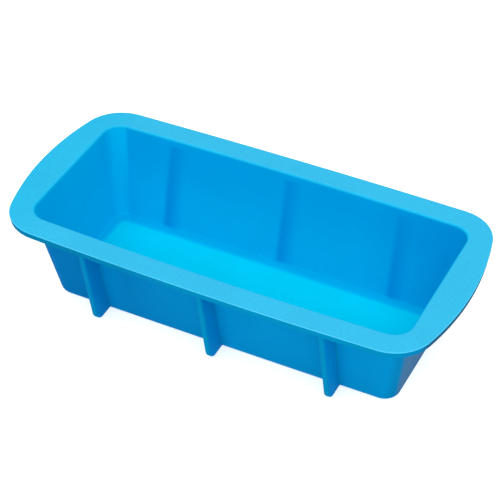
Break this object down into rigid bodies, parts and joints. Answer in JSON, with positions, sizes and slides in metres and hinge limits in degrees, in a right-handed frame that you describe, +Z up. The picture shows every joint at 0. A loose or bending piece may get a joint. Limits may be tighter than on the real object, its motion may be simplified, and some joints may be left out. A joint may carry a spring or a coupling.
{
  "type": "silicone loaf soap mould",
  "caption": "Flexible loaf-shaped mould for casting a bar of soap: an open tapering tub with a broad flat rim, rounded corners and upright stiffening ribs on its long sides.",
  "frame": {"origin": "middle of the flat underside of the base, level with the surface the mould stands on", "axes": "+X along the mould's length, +Y from the front long side to the rear long side, +Z up towards the open mouth"},
  "size_m": [0.26, 0.125, 0.06],
  "materials": {
    "blue_silicone": "satin, slightly translucent sky-blue moulded silicone"
  },
  "bodies": {
    "root": {"rim_flange": "blue_silicone", "front_wall": "blue_silicone", "rear_wall": "blue_silicone", "left_end_wall": "blue_silicone", "right_end_wall": "blue_silicone", "front_left_corner": "blue_silicone", "front_right_corner": "blue_silicone", "rear_left_corner": "blue_silicone", "rear_right_corner": "blue_silicone", "base_panel": "blue_silicone", "front_rib_left": "blue_silicone", "front_rib_centre": "blue_silicone", "front_rib_right": "blue_silicone", "rear_rib_left": "blue_silicone", "rear_rib_centre": "blue_silicone", "rear_rib_right": "blue_silicone"}
  },
  "joints": []
}
